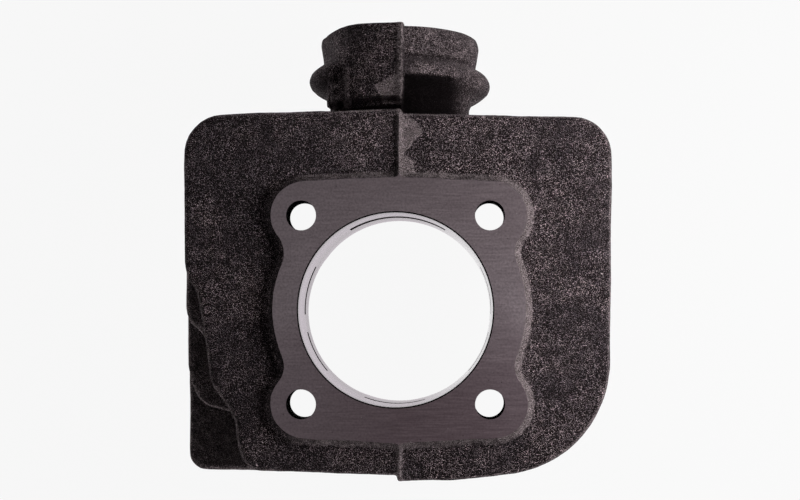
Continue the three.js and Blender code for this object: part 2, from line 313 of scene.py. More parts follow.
def combine(name, pieces):
    """One object holding all the pieces' meshes."""
    bm = bmesh.new()
    for piece in pieces:
        bm.from_mesh(piece.data)
    mesh = bpy.data.meshes.new(name)
    bm.to_mesh(mesh)
    bm.free()
    for piece in pieces:
        discard(piece)
    return new_object(name, mesh)


def settle(obj):
    """Replaces an object's mesh by what its modifiers make of it."""
    graph = bpy.context.evaluated_depsgraph_get()
    shaped = bpy.data.meshes.new_from_object(obj.evaluated_get(graph))
    obj.modifiers.clear()
    old, obj.data = obj.data, shaped
    shaped.name = obj.name
    bpy.data.meshes.remove(old)
    return obj


def fuse(name, pieces, voxel, smoothing):
    """The pieces as one even skin with rounded edges, as sand casting leaves them."""
    obj = combine(name, pieces)
    remesh = obj.modifiers.new("skin", "REMESH")
    remesh.mode = "VOXEL"
    remesh.voxel_size = voxel * MM
    smooth = obj.modifiers.new("round", "SMOOTH")
    smooth.factor = 0.5
    smooth.iterations = smoothing
    return settle(obj)


def roughen(obj, size, depth):
    """Pushes the skin in and out by a cloud pattern of one grain size."""
    texture = bpy.data.textures.new("sand", "CLOUDS")
    texture.noise_scale = size * MM
    texture.noise_depth = 2
    displace = obj.modifiers.new("sand", "DISPLACE")
    displace.texture = texture
    displace.texture_coords = "LOCAL"
    displace.strength = depth * MM
    displace.mid_level = 0.5


def machine(obj, cutters):
    """Cuts the cutters out of a settled casting."""
    for cutter in cutters:
        cut = obj.modifiers.new("cut", "BOOLEAN")
        cut.operation = "DIFFERENCE"
        cut.solver = "MANIFOLD"
        cut.object = cutter
    settle(obj)
    for cutter in cutters:
        discard(cutter)


def vertices_of(obj):
    """The vertices as an array of mm about the bore axis."""
    co = np.empty(len(obj.data.vertices) * 3)
    obj.data.vertices.foreach_get("co", co)
    return (co.reshape(-1, 3) - np.array(AXIS)) / MM


def set_vertices(obj, points):
    obj.data.vertices.foreach_set("co", (points * MM + np.array(AXIS)).ravel())
    obj.data.update()


def normals_of(obj):
    normals = np.empty(len(obj.data.vertices) * 3)
    obj.data.vertex_normals.foreach_get("vector", normals)
    return normals.reshape(-1, 3)


def ramp(low, high, values):
    """Rises smoothly from 0 to 1 between two values."""
    t = np.clip((values - low) / (high - low), 0, 1)
    return t * t * (3 - 2 * t)


def ragged(along, seed):
    """An uneven 0 to 1 wave along a line measured in mm."""
    waves = [np.sin(along * pitch + seed * turn)
             for pitch, turn in ((0.71, 1.0), (1.93, 2.3), (4.1, 3.1), (7.7, 0.7))]
    return np.clip(0.5 + 0.22 * np.sum(waves, axis=0), 0, 1)


def parting(points, width):
    """How near each point is to the plane that the mould's halves met on, from 0 to 1."""
    return np.exp(-(((points[:, 0] - CAST_X) / width) ** 2))


def add_flash(obj, height):
    """Iron that ran into the mould's joint: a thin ragged ridge round the parting plane."""
    points = vertices_of(obj)
    uneven = 0.7 + 0.3 * ragged(points[:, 1] + 0.8 * points[:, 2], 2.0)
    ridge = height * uneven * parting(points, 0.55)
    set_vertices(obj, points + normals_of(obj) * ridge[:, None])


def inside(outline, x, y):
    """Which of the points lie inside a closed outline."""
    found = np.zeros(len(x), bool)
    for (x0, y0), (x1, y1) in zip(outline, outline[1:] + outline[:1]):
        crosses = (y0 > y) != (y1 > y)
        found ^= crosses & (x < x0 + (y - y0) * (x1 - x0) / (y1 - y0 + 1e-12))
    return found


def mark(obj, name, amount):
    """Records an amount from 0 to 1 at each point for the cast iron's material: exposed metal together
    with painted light, or painted shade.
    """
    attribute = obj.data.attributes.new(name, "FLOAT", "POINT")
    attribute.data.foreach_set("value", np.clip(amount, 0, 1).astype(np.float32))


# ---------------------------------------------------------------- materials


class Nodes:
    """A short way to write the node tree of a material or a world."""

    def __init__(self, owner, shader, output):
        self.owner = owner
        owner.use_nodes = True
        self.tree = owner.node_tree
        self.tree.nodes.clear()
        self.shader = self.add(shader)
        self.link(self.shader.outputs[0], self.add(output).inputs["Surface"])
        self.texture_places = self.add("ShaderNodeTexCoord").outputs
        self.place = self.texture_places["Object"]

    @classmethod
    def for_material(cls, name):
        material = bpy.data.materials.new(name)
        return cls(material, "ShaderNodeBsdfPrincipled", "ShaderNodeOutputMaterial")

    def add(self, kind, **settings):
        node = self.tree.nodes.new(kind)
        for key, value in settings.items():
            setattr(node, key, value)
        return node

    def link(self, output, socket):
        self.tree.links.new(output, socket)

    def fill(self, socket, value):
        if isinstance(value, bpy.types.NodeSocket):
            self.link(value, socket)
        else:
            socket.default_value = value

    def noise(self, size, detail=2.0, rough=0.5, place=None):
        """Cloud noise with lumps of about size mm."""
        node = self.add("ShaderNodeTexNoise")
        self.link(place or self.place, node.inputs["Vector"])
        node.inputs["Scale"].default_value = 1 / (size * MM)
        node.inputs["Detail"].default_value = detail
        node.inputs["Roughness"].default_value = rough
        return node.outputs["Fac"]

    def stretched(self, scale, turn=0.0):
        """Places in the part, turned about Z and scaled along each axis."""
        node = self.add("ShaderNodeMapping")
        self.link(self.place, node.inputs["Vector"])
        node.inputs["Rotation"].default_value = (0, 0, turn)
        node.inputs["Scale"].default_value = scale
        return node.outputs["Vector"]

    def grains(self, size):
        """Cells of about size mm: the distance from each one's middle."""
        node = self.add("ShaderNodeTexVoronoi", feature="F1")
        self.link(self.place, node.inputs["Vector"])
        node.inputs["Scale"].default_value = 1 / (size * MM)
        return node.outputs["Distance"]

    def math(self, operation, a, b=0.0, c=0.0):
        node = self.add("ShaderNodeMath", operation=operation)
        for socket, value in zip(node.inputs, (a, b, c)):
            self.fill(socket, value)
        return node.outputs[0]

    def ramp(self, value, stops):
        """Colours, or greys, against a value from 0 to 1."""
        node = self.add("ShaderNodeValToRGB")
        self.link(value, node.inputs["Fac"])
        elements = node.color_ramp.elements
        while len(elements) < len(stops):
            elements.new(0.5)
        for element, (position, colour) in zip(elements, stops):
            element.position = position
            element.color = colour if isinstance(colour, tuple) else (colour,) * 3 + (1,)
        return node.outputs["Color"]

    def split(self, vector):
        """The X, Y and Z of a vector, as sockets."""
        node = self.add("ShaderNodeSeparateXYZ")
        self.link(vector, node.inputs[0])
        return node.outputs

    def mix(self, factor, a, b):
        """Colour a at a factor of 0 and b at 1."""
        node = self.add("ShaderNodeMix", data_type="RGBA")
        for name, value in (("Factor", factor), ("A", a), ("B", b)):
            sockets = [s for s in node.inputs if s.name == name and s.enabled]
            self.fill(sockets[0], value)
        return [s for s in node.outputs if s.enabled][0]

    def bump(self, height, depth, strength, under=None):
        """A normal raised by a height pattern depth mm deep, on top of another bump."""
        node = self.add("ShaderNodeBump")
        self.link(height, node.inputs["Height"])
        node.inputs["Distance"].default_value = depth * MM
        node.inputs["Strength"].default_value = strength
        if under:
            self.link(under, node.inputs["Normal"])
        return node.outputs["Normal"]

    def finish(self, colour, roughness, metallic, normal):
        """Fills the shader's sockets, and gives the material."""
        self.link(colour, self.shader.inputs["Base Color"])
        self.fill(self.shader.inputs["Roughness"], roughness)
        self.fill(self.shader.inputs["Metallic"], metallic)
        self.link(normal, self.shader.inputs["Normal"])
        return self.owner


# The painted shade's colour, near black, for the stub's sheltered neck and groove.
PAINTED_SHADE_COLOUR = (0.0016, 0.0012, 0.0013, 1)
RUST_AND_LIGHT_TO_RIGHT = 0.06  # how much further the lighter, rusty skin spreads on the right than in the middle, as painted light from the right
SKIN_METAL = 0.30
PAINTED_SHADE_METAL = 0.55  # more of it under the painted shade, because black metal reflects next to nothing


def cast_material():
    """Sand-cast iron under a blackened skin, rubbed to grey-brown metal where marked; the metal mark
    and a lighter skin towards +X also carry painted light, and a second mark carries painted shade.
    """
    n = Nodes.for_material("cast_iron_black")
    grain = n.noise(0.15, detail=1, rough=0.6)
    lumps = n.noise(0.55, detail=1, rough=0.5)
    clumps = n.noise(2.2, detail=2, rough=0.6)
    patches = n.noise(11, detail=3, rough=0.55)
    sparkle = n.math("MULTIPLY_ADD", lumps, 0.10, n.math("MULTIPLY", grain, 0.80))
    sparkle = n.math("MULTIPLY_ADD", clumps, 0.10, sparkle)
    skin = n.ramp(sparkle, [(0.46, (0.0010, 0.0007, 0.0008, 1)), (0.55, (0.0030, 0.0021, 0.0024, 1)),
                            (0.60, (0.022, 0.017, 0.019, 1)), (0.67, (0.36, 0.285, 0.31, 1))])
    rusty_and_lit = n.ramp(sparkle, [(0.47, (0.0020, 0.0013, 0.0014, 1)), (0.555, (0.0060, 0.0040, 0.0044, 1)),
                             (0.605, (0.044, 0.033, 0.036, 1)), (0.655, (0.66, 0.52, 0.545, 1))])
    # Painted light: the lighter rusty skin spreads further towards +X, on top of its random patches.
    rust_and_light = n.math("MULTIPLY_ADD", n.split(n.place)["X"], RUST_AND_LIGHT_TO_RIGHT / (FIN_REACH * MM), patches)
    skin = n.mix(n.ramp(rust_and_light, [(0.42, 0.0), (0.60, 1.0)]), skin, rusty_and_lit)
    metal = n.ramp(sparkle, [(0.40, (0.020, 0.0158, 0.0160, 1)), (0.52, (0.070, 0.057, 0.058, 1)),
                             (0.62, (0.34, 0.28, 0.29, 1))])
    bare_and_lit = n.add("ShaderNodeAttribute", attribute_name="bare_and_lit").outputs["Fac"]
    uneven = n.math("MULTIPLY_ADD", clumps, 1.2, 0.4)
    mask = n.ramp(n.math("MULTIPLY", bare_and_lit, uneven), [(0.15, 0.0), (0.75, 1.0)])
    colour = n.mix(mask, skin, metal)
    # Painted shade: near black, black-metallic and matt where the stub is sheltered.
    painted_shade = n.add("ShaderNodeAttribute", attribute_name="painted_shade").outputs["Fac"]
    colour = n.mix(painted_shade, colour, PAINTED_SHADE_COLOUR)
    roughness = n.ramp(sparkle, [(0.53, 0.94), (0.62, 0.24)])
    roughness = n.mix(painted_shade, roughness, (0.95, 0.95, 0.95, 1))
    n.shader.inputs["Specular IOR Level"].default_value = 0.28
    n.shader.inputs["Specular Tint"].default_value = (1.0, 0.80, 0.86, 1)
    wide = n.bump(clumps, depth=0.24, strength=0.6)
    rough = n.bump(lumps, depth=0.20, strength=0.9, under=wide)
    metallic = n.math("MULTIPLY_ADD", painted_shade, PAINTED_SHADE_METAL, SKIN_METAL)
    return n.finish(colour, roughness, metallic, n.bump(grain, depth=0.16, strength=1.0, under=rough))


def milled_material():
    """The head joint: fine-milled iron, grey-brown in cloudy patches, with faint cutter marks and a
    painted reflection that darkens it towards -Y and lightens it towards the left and right edges.
    """
    n = Nodes.for_material("milled_iron")
    marks = n.noise(6, detail=3, rough=0.6, place=n.stretched((1, 16, 1), turn=0.12))
    cloud = n.noise(14, detail=3, rough=0.5)
    fine = n.noise(0.5, detail=2, rough=0.6)
    pits = n.grains(3.1)
    specks = n.grains(2.3)
    at = n.split(n.place)
    across = n.math("DIVIDE", at["Y"], 2 * PAD_APEX * MM)
    aside = n.math("POWER", n.math("DIVIDE", at["X"], PAD_APEX * MM), 2)
    # Painted reflection: darker towards -Y and lighter towards the left and right edges, over random
    # cloudy patches.
    oil_and_reflection = n.math("MULTIPLY_ADD", cloud, 0.5, n.math("ADD", across, 0.50))
    oil_and_reflection = n.math("MULTIPLY_ADD", aside, 0.22, oil_and_reflection)
    tone = n.ramp(oil_and_reflection, [(0.15, (0.37, 0.27, 0.305, 1)), (0.45, (0.44, 0.335, 0.375, 1)),
                        (0.72, (0.66, 0.545, 0.59, 1)), (1.0, (0.52, 0.42, 0.455, 1))])
    # Painted reflection: lighter and more neutral towards -X.
    left = n.math("DIVIDE", at["X"], -PAD_APEX * MM)
    tone = n.mix(n.ramp(left, [(0.0, 0.0), (1.0, 0.33)]), tone, (0.95, 0.80, 0.87, 1))
    colour = n.mix(n.ramp(marks, [(0.45, 0.0), (0.80, 0.16)]), tone, (0.70, 0.58, 0.61, 1))
    colour = n.mix(n.ramp(fine, [(0.35, 0.35), (0.60, 0.0)]), colour, (0.20, 0.145, 0.16, 1))
    colour = n.mix(n.ramp(pits, [(0.03, 0.55), (0.07, 0.0)]), colour, (0.10, 0.075, 0.078, 1))
    colour = n.mix(n.ramp(specks, [(0.02, 0.8), (0.06, 0.0)]), colour, (0.85, 0.78, 0.78, 1))
    roughness = n.ramp(marks, [(0.3, 0.36), (0.7, 0.42)])
    grit = n.bump(fine, depth=0.012, strength=0.6)
    return n.finish(colour, roughness, 1.0, n.bump(marks, depth=0.01, strength=0.5, under=grit))


def honed_material():
    """The bore: bright honed iron with a fine cross-hatch, duller where the rings don't run, and a
    painted reflection that turns the wall near white on the +X side.
    """
    n = Nodes.for_material("honed_iron")
    shift = n.add("ShaderNodeVectorMath", operation="SUBTRACT")
    n.link(n.place, shift.inputs[0])
    shift.inputs[1].default_value = AXIS
    at = n.split(shift.outputs[0])
    round_bore = n.math("MULTIPLY", n.math("ARCTAN2", at["Y"], at["X"]), BORE * MM)
    lines = []
    for slope in (0.6, -0.6):
        across = n.math("MULTIPLY_ADD", round_bore, slope, at["Z"])
        scratch = n.add("ShaderNodeTexNoise", noise_dimensions="1D")
        n.link(across, scratch.inputs["W"])
        scratch.inputs["Scale"].default_value = 1 / (0.35 * MM)
        scratch.inputs["Detail"].default_value = 3
        lines.append(scratch.outputs["Fac"])
    hatch = n.math("ADD", *lines)
    height = n.math("DIVIDE", at["Z"], DECK * MM)
    wavy = n.math("MULTIPLY_ADD", n.noise(14, detail=2), 0.10, n.math("SUBTRACT", height, 0.05))
    colour = n.ramp(wavy, [(0.0, (0.43, 0.34, 0.41, 1)), (0.28, (0.30, 0.24, 0.28, 1)),
                           (0.50, (0.42, 0.33, 0.40, 1)), (0.80, (0.475, 0.38, 0.46, 1)),
                           (0.94, (0.30, 0.24, 0.28, 1)), (1.0, (0.14, 0.11, 0.125, 1))])
    # Painted reflection: the wall on the +X side blends to near white.
    across = n.math("MULTIPLY_ADD", at["X"], 0.5 / (BORE * MM), 0.5)
    colour = n.mix(n.ramp(across, [(0.60, 0.0), (0.90, 0.9)]), colour, (0.96, 0.95, 0.96, 1))
    roughness = n.ramp(n.math("MULTIPLY", hatch, 0.5), [(0.35, 0.24), (0.65, 0.40)])
    return n.finish(colour, roughness, 0.95, n.bump(hatch, depth=0.006, strength=0.4))


def turned_material():
    """The skirt and the stub's end: plain turned iron with fine rings and a little tarnish."""
    n = Nodes.for_material("turned_iron")
    rings = n.noise(0.35, detail=2, rough=0.6, place=n.stretched((0.02, 0.02, 1)))
    tarnish = n.noise(7, detail=3, rough=0.55)
    colour = n.ramp(tarnish, [(0.35, (0.20, 0.185, 0.18, 1)), (0.65, (0.33, 0.31, 0.305, 1))])
    roughness = n.ramp(tarnish, [(0.3, 0.50), (0.7, 0.36)])
    return n.finish(colour, roughness, 0.9, n.bump(rings, depth=0.03, strength=0.6))


def drilled_material():
    """Stud holes, the bore's mouth and the exhaust passage: dull, near-black iron with little sheen.
    """
    n = Nodes.for_material("drilled_iron")
    grain = n.noise(0.5, detail=2, rough=0.6)
    colour = n.ramp(grain, [(0.35, (0.0012, 0.0010, 0.0011, 1)), (0.70, (0.008, 0.0062, 0.0068, 1))])
    n.shader.inputs["Specular IOR Level"].default_value = 0.05
    return n.finish(colour, 0.9, 0.0, n.bump(grain, depth=0.05, strength=0.5))


SHARP_ON_METAL = math.radians(14)
SHARP_ON_SKIN = math.radians(55)

CAST = cast_material()
MILLED = milled_material()
HONED = honed_material()
DRILLED = drilled_material()
TURNED = turned_material()


def dress(obj, rules, skin=CAST):
    """The skin all over, then each rule's material on the faces that its test picks out."""
    mesh = obj.data
    mesh.materials.clear()
    count = len(mesh.polygons)
    centres, normals = np.empty(count * 3), np.empty(count * 3)
    mesh.polygons.foreach_get("center", centres)
    mesh.polygons.foreach_get("normal", normals)
    centres = (centres.reshape(-1, 3) - np.array(AXIS)) / MM
    normals = normals.reshape(-1, 3)
    slots = np.zeros(count, np.int32)
    mesh.materials.append(skin)
    for number, (material, test) in enumerate(rules, 1):
        mesh.materials.append(material)
        slots[test(centres, normals)] = number
    mesh.polygons.foreach_set("material_index", slots)
    mesh.polygons.foreach_set("use_smooth", np.ones(count, bool))
    bm = bmesh.new()
    bm.from_mesh(mesh)
    for edge in bm.edges:
        faces = edge.link_faces
        if len(faces) == 2:
            crossing = faces[0].material_index != faces[1].material_index
            crease = SHARP_ON_METAL if faces[0].material_index else SHARP_ON_SKIN
            edge.smooth = not crossing and edge.calc_face_angle(0) < crease
    bm.to_mesh(mesh)
    bm.free()


def place(obj, nodes, slot):
    """Puts a piece in the assembly: its body and the nodes it stands for; slot is not used."""
    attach(obj, "root")
    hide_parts(*nodes)


# ---------------------------------------------------------------- shared machining cuts


MOUTH_CHAMFER = 0.3
WALL_TOP = DECK - 0.7  # the bored wall's own piece starts here, below a narrow rim of deck
NEARLY_AXIS = 0.01  # a turned profile's least radius

# How near a face's middle lies to the surface that a rule looks for.
ON_LEVEL = 0.02
ON_ROUND = 0.06

# How much of a face's normal points up: a level face, an upright one, and less than level.
LEVEL = 0.9
UPRIGHT = 0.3
TILTED = 0.95


def bore_cutter():
    """The bore through the head joint: chamfered mouth, then room for the bored wall."""
    top = DECK + 3
    return turned([
        (NEARLY_AXIS, top), (BORE + MOUTH_CHAMFER + 3, top), (BORE + MOUTH_CHAMFER, DECK),
        (BORE, DECK - MOUTH_CHAMFER), (BORE, WALL_TOP), (WALL_SEAT, WALL_TOP),
        (WALL_SEAT, -5), (NEARLY_AXIS, -5),
    ], ROUND_BORE)


def stud_cutters(low, high):
    """The stud holes between two heights: drilled at the top, cast and wider below."""
    cutters = []
    for drilled, relieved in zip(stud_places(STUD_PITCH), stud_places(RELIEF_PITCH)):
        if high > DRILLED_DOWN_TO:
            cutters.append(rod(STUD_HOLE, max(low, DRILLED_DOWN_TO) - 1, high + 1, *drilled))
        if low < DRILLED_DOWN_TO:
            end = min(high, DRILLED_DOWN_TO) + 0.5
            cutters.append(rod(RELIEF_HOLE, low - 1, end, *relieved, segments=40))
    return cutters


def on_plane(height, up):
    """Picks level faces at one height."""
    return lambda c, n: (np.abs(c[:, 2] - height) < ON_LEVEL) & (n[:, 2] * up > LEVEL)


def in_bore_mouth(c, n):
    """Picks the chamfer and the short rim above the bored wall."""
    return (np.hypot(c[:, 0], c[:, 1]) < BORE + MOUTH_CHAMFER) & (np.abs(n[:, 2]) < TILTED)


def in_stud_hole(c, n):
    """Picks the walls of the four stud holes."""
    picked = np.zeros(len(c), bool)
    for pitch, radius in ((STUD_PITCH, STUD_HOLE), (RELIEF_PITCH, RELIEF_HOLE)):
        for x, y in stud_places(pitch):
            away = np.hypot(c[:, 0] - x, c[:, 1] - y)
            picked |= (np.abs(away - radius) < ON_ROUND) & (np.abs(n[:, 2]) < UPRIGHT)
    return picked


# ---------------------------------------------------------------- the castings

MOULD_SHIFT = 1.1  # the mould's right half stood this far behind its left half
SHRINK = 0.32  # what rounding a casting's edges takes off its outline
BARE_FLASH = 0.9
BARE_CREST = 0.7
FLANK_WEAR_AND_LIGHT = 0.65
PAINTED_LIGHT_LOWER_FINS = 0.45  # painted light: the lower fins are lifted towards metal colour to make up for the shadow of the fins above
BARE_TORN = 0.5
# Painted light on the stub's upper right half, which faces the right softbox.
PAINTED_LIGHT_STUB_RIGHT = 0.3
TORN_HEIGHT = 0.9

# The head joint's cast flank, as (how far it spreads, how high above the top fin).
PAD_FLANK = [(1.75, 0.2), (1.2, 0.75), (0.7, 1.4), (0.3, 2.0)]
PAD_DRAFT = 0.1

# Where the gate was broken off and the stump ground down, on the top fin.
GATE_SCAR = [(0.6, 43.2), (4.0, 42.1), (6.2, 39.8), (3.6, 36.7), (1.8, 34.5), (4.0, 32.5),
             (4.3, 30.1), (0.6, 30.1)]
SCAR_HEIGHT = 0.22


def on_scar(points):
    """Which points lie on the gate's scar, on top of the top fin."""
    on_top = points[:, 2] > FINS[0][1] - 0.5
    return inside(GATE_SCAR, points[:, 0], points[:, 1]) & on_top


def worn_and_lit(obj):
    """Exposed metal along the flash, round the fins' crests and on the head joint's flanks, with
    painted light on the flanks that face +X and painted shade on those that face -X.
    """
    points, normals = vertices_of(obj), normals_of(obj)
    flash = BARE_FLASH * parting(points, 0.6)
    tilt = np.abs(normals[:, 2])
    crest = BARE_CREST * ramp(0.50, 0.70, tilt) * ramp(0.97, 0.88, tilt)
    flank = FLANK_WEAR_AND_LIGHT * ramp(0.15, 0.45, tilt) * ramp(0.97, 0.80, tilt)
    # Painted light and shade: flanks that face +X, towards the right softbox, are lighter, and those
    # that face -X darker.
    flank *= 0.2 + 1.2 * ramp(-0.6, 0.5, normals[:, 0])
    above_fins = points[:, 2] > FINS[0][1] + 0.1
    return np.maximum(flash, np.where(above_fins, flank, crest))


FIN_HOLE = BORE + WALL + 1.2  # the fins end inside the body's wall
FIN_MIDDLE = 1.06  # a fin's thickness at the parting plane and at its ends, over the frame's
FIN_END = 0.80


def taper_fin(obj, low, high):
    """A fin is thinner at its left and right ends, so that the mould's halves can part."""
    points = vertices_of(obj)
    middle = (low + high) / 2
    reach = np.abs(points[:, 0] - CAST_X) / FIN_REACH
    thickness = FIN_MIDDLE + (FIN_END - FIN_MIDDLE) * reach
    points[:, 2] = middle + (points[:, 2] - middle) * thickness
    set_vertices(obj, points)


def top_casting():
    """The top fin and the head joint's pad, cast as one, then milled, bored and drilled."""
    low, high = FINS[0]
    flank = [(spread, high + rise) for spread, rise in PAD_FLANK]
    pieces = [prism(grown(fin_outline(0), SHRINK), low, high)]
    pieces += [prism(pad_outline(grow), low + 0.6, top)
               for grow, top in [*flank, (PAD_DRAFT, DECK + ALLOWANCE)]]
    obj = fuse("top_casting", pieces, voxel=0.45, smoothing=6)
    add_flash(obj, height=0.55)
    points = vertices_of(obj)
    points[on_scar(points), 2] += SCAR_HEIGHT
    set_vertices(obj, points)
    roughen(obj, size=12, depth=0.5)
    roughen(obj, size=1.1, depth=0.10)
    settle(obj)
    machine(obj, [slab(DECK, DECK + OVERSHOOT), bore_cutter(), *stud_cutters(low, DECK)])
    mark(obj, "bare_and_lit", np.maximum(worn_and_lit(obj), on_scar(vertices_of(obj))))
    dress(obj, [
        (MILLED, on_plane(DECK, 1)),
        (DRILLED, in_bore_mouth),
        (DRILLED, in_stud_hole),
    ])
    place(obj, ["cooling_fin_1", "head_joint_pad"], "rough_iron")


def lower_fin(index):
    """A fin below the top one, numbered from 0 at the top."""
    low, high = FINS[index]
    blank = prism(grown(fin_outline(index), SHRINK), low, high)
    obj = fuse(f"fin_{index + 1}_casting", [blank], voxel=0.7, smoothing=4)
    taper_fin(obj, low, high)
    add_flash(obj, height=0.5)
    roughen(obj, size=12, depth=0.4)
    roughen(obj, size=1.4, depth=0.10)
    settle(obj)
    cutters = [rod(FIN_HOLE, low - 2, high + 2), *stud_cutters(low, high)]
    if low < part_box("exhaust_stub")[1].z / MM:
        cutters.append(rod(PASSAGE, -14, STUB_LENGTH, segments=48, placement=STUB_FRAME))
    machine(obj, cutters)
    # Painted light lifts the lower fins' colour all over.
    mark(obj, "bare_and_lit", np.maximum(worn_and_lit(obj), PAINTED_LIGHT_LOWER_FINS))
    dress(obj, [(DRILLED, in_stud_hole)])
    place(obj, [f"cooling_fin_{index + 1}"], "rough_iron")


FLANGE_CORNER = 9.0
FLANGE_SIDES = (-26.0, 26.5, -25.0, 20.5)  # left, right, back and front, to the corners' centres
SWELL_ANGLES = (118, 422)  # round the back, clear of the exhaust
ROOT_FILLET = 0.7  # how far the fins' root fillets climb, and how far they spread
FILLET_SPREAD = 1.3


def core_pieces(low, high, grow):
    """The round wall and its four stud columns between two heights."""
    pieces = [prism(circle(CAST_X, 0, CORE + grow), low, high)]
    for x, y in stud_places(RELIEF_PITCH):
        pieces.append(prism(circle(x, y, BOSS + grow), low, high))
    return pieces


def body_casting():
    """The wall between the fins, the flange and the stub's root, cast as one."""
    top = FINS[0][0] + 1
    pieces = core_pieces(FLANGE_LOW, top, 0)
    pieces.append(prism(arc(0, 0, DUCT_SWELL, *SWELL_ANGLES), FLANGE_LOW, DUCT_TOP + 1))
    for low, high in FINS:
        pieces += core_pieces(low - ROOT_FILLET, min(high + ROOT_FILLET, top), FILLET_SPREAD)
    left, right, back, front = FLANGE_SIDES
    flange = [*arc(left, back, FLANGE_CORNER, 180, 270), *arc(right, back, FLANGE_CORNER, 270, 360),
              *arc(right, front, FLANGE_CORNER, 0, 90), *arc(left, front, FLANGE_CORNER, 90, 180)]
    pieces.append(prism(flange, FLANGE_LOW - ALLOWANCE, FLANGE_HIGH))
    pieces.append(rod(NECK + 0.4, -12, 14, segments=64, placement=STUB_FRAME))
    obj = fuse("body_casting", pieces, voxel=0.8, smoothing=5)
    add_flash(obj, height=0.8)
    roughen(obj, size=8, depth=0.3)
    roughen(obj, size=1.6, depth=0.12)
    settle(obj)
    under = slab(FLANGE_LOW - OVERSHOOT, FLANGE_LOW)
    ducts = [prism(sector(BORE, outer, start, end), FLANGE_LOW - 2, DUCT_TOP)
             for start, end, outer in DUCTS]
    wall = rod(WALL_SEAT, FLANGE_LOW - 3, DECK)
    passage = rod(PASSAGE, -12, 20, segments=64, placement=STUB_FRAME)
    machine(obj, [under, wall, passage, *ducts, *stud_cutters(FLANGE_LOW, top)])
    mark(obj, "bare_and_lit", BARE_FLASH * parting(vertices_of(obj), 0.6))
    dress(obj, [(MILLED, on_plane(FLANGE_LOW, -1)), (DRILLED, in_stud_hole)])
    place(obj, [f"barrel_core_{i}" for i in range(1, 9)] + ["base_flange"], "rough_iron")


# The gate's stump on the stub's left half, as (sideways, up) in the stub's own frame,
# and the corner that broke away from it, as (sideways, along).
GATE_BLOCK = [(0.4, 21.2), (-5.2, 20.6), (-9.2, 19.6), (-11.6, 17.9), (-13.6, 14.9),
              (-15.5, 10.8), (-16.8, 7), (0.4, 4)]
GATE_BLOCK_FROM = 16.6
BROKEN_CORNER = [(-5.8, 19.5), (-1.0, 21.9), (1.0, 21.4), (1.0, 17.8), (-0.5, 16.4), (-3.5, 16.4),
                 (-4.6, 18.2)]
FACING_RADIUS = 30.0  # the cut across the stub's end, wider than the collar

# Where painted shade darkens the stub, as distances along it, and how dark.
UNDER_COLLAR = COLLAR_AT - 1.3
GROOVE_AT = COLLAR_AT + 3.3
PAINTED_SHADE_ON_NECK = 0.93
PAINTED_SHADE_IN_GROOVE = 0.6


def stub_profile():
    """Neck, clamp collar and flared tube, as (radius, distance along) pairs."""
    collar = [(-5.2, NECK), (-3.6, NECK + 0.9), (-2.3, COLLAR - 1.6), (-1.2, COLLAR - 0.4),
              (0, COLLAR), (1.2, COLLAR - 0.4), (2.2, COLLAR - 1.5), (3.0, TUBE - 0.5),
              (4.0, TUBE - 0.7)]
    return [
        (NEARLY_AXIS, -2), (NECK + 1.5, -2), (NECK + 1.5, 12), (NECK, 15.5),
        *[(radius, COLLAR_AT + along) for along, radius in collar],
        (TUBE, STUB_LENGTH - 1.4), (TUBE - 0.1, STUB_LENGTH - 0.4), (TUBE - 0.8, STUB_LENGTH + 2),
        (NEARLY_AXIS, STUB_LENGTH + 2),
    ]


def stub_places(points):
    """Points in the stub's own frame: sideways, up and along."""
    away = points - np.array(STUB_ROOT)
    return away[:, 0], away @ np.array(STUB_UP), away @ np.array(STUB_OUT)


def painted_shade_on_stub(points):
    """How much painted shade each point gets: the neck in the collar's shelter, and the collar's
    groove.
    """
    sideways, up, along = stub_places(points)
    right_half = ramp(0.5, 1.3, sideways)
    shelter = GATE_BLOCK_FROM + (UNDER_COLLAR - GATE_BLOCK_FROM) * right_half
    neck = ramp(shelter, shelter - 0.8, along) * ramp(17, 11, np.abs(sideways))
    groove = right_half * np.exp(-(((along - GROOVE_AT) / 0.55) ** 2))
    return np.maximum(PAINTED_SHADE_ON_NECK * neck, PAINTED_SHADE_IN_GROOVE * groove) * ramp(2, 8, up)


def torn_flank(points):
    """Where the gate's stump tore away on its left: ragged streaks along the stub."""
    sideways, up, along = stub_places(points)
    near = ramp(-16.5, -15, sideways) * ramp(-9.5, -12, sideways) * ramp(4, 7, up)
    return near * ramp(COLLAR_AT + 4, COLLAR_AT - 2, along) * ragged(3 * sideways, 1.7)


